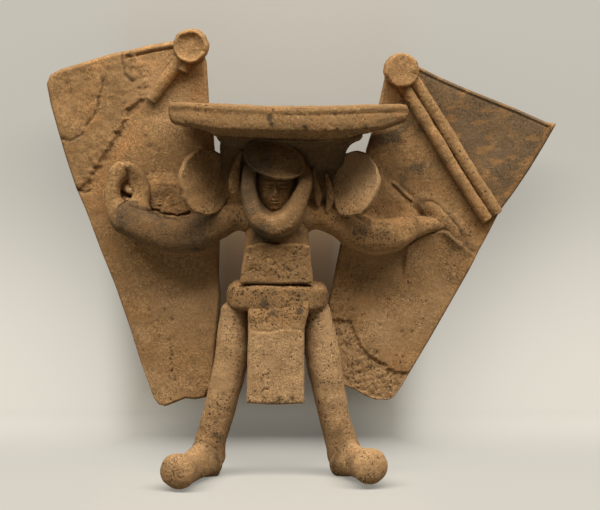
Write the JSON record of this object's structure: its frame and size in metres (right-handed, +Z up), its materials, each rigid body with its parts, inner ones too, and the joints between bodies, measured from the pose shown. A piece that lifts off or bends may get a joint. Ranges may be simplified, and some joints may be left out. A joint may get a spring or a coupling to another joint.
{
  "type": "ceramic figurine",
  "caption": "Hand-built clay figure, arms raised, in an open-mouthed helmet and plank headdress, with a flat slab wing behind each arm",
  "frame": {"origin": "bottom centre of the whole figure, on the surface it stands on", "axes": "+Z up, -Y out of the figure's front, +X to the viewer's right"},
  "size_m": [0.3098, 0.0808, 0.2697],
  "materials": {
    "plain_clay": "unglazed, matte, pitted and stained",
    "head_clay": "unglazed, matte, pitted and stained",
    "headdress_clay": "unglazed, matte, pitted and stained",
    "left_wing_clay": "unglazed, matte, pitted and stained",
    "right_wing_clay": "unglazed, matte, pitted and stained"
  },
  "bodies": {
    "root": {"left_foot": "plain_clay", "right_foot": "plain_clay", "left_leg": "plain_clay", "right_leg": "plain_clay", "hip_belt": "plain_clay", "loincloth_apron": "plain_clay", "torso": "plain_clay", "chest_panel": "plain_clay", "left_arm": "plain_clay", "right_arm": "plain_clay", "left_fingers": "plain_clay", "left_thumb": "plain_clay", "right_fingers": "plain_clay", "right_thumb": "plain_clay", "head": "head_clay", "helmet_shell": "head_clay", "helmet_jaw_ring": "head_clay", "helmet_visor": "head_clay", "left_side_lock": "head_clay", "right_side_lock": "head_clay", "right_rear_lock": "head_clay", "headdress_plank": "headdress_clay", "headdress_support": "headdress_clay", "left_ear_disc": "headdress_clay", "right_ear_disc": "headdress_clay", "left_wing_slab": "left_wing_clay", "left_arm_web": "left_wing_clay", "left_wing_knob": "left_wing_clay", "left_ribbon": "left_wing_clay", "left_ribbon_stub": "left_wing_clay", "right_wing_slab": "right_wing_clay", "right_arm_web": "right_wing_clay", "right_wing_knob": "right_wing_clay", "right_ribbon_inner": "right_wing_clay", "right_ribbon_outer": "right_wing_clay"}
  },
  "joints": []
}
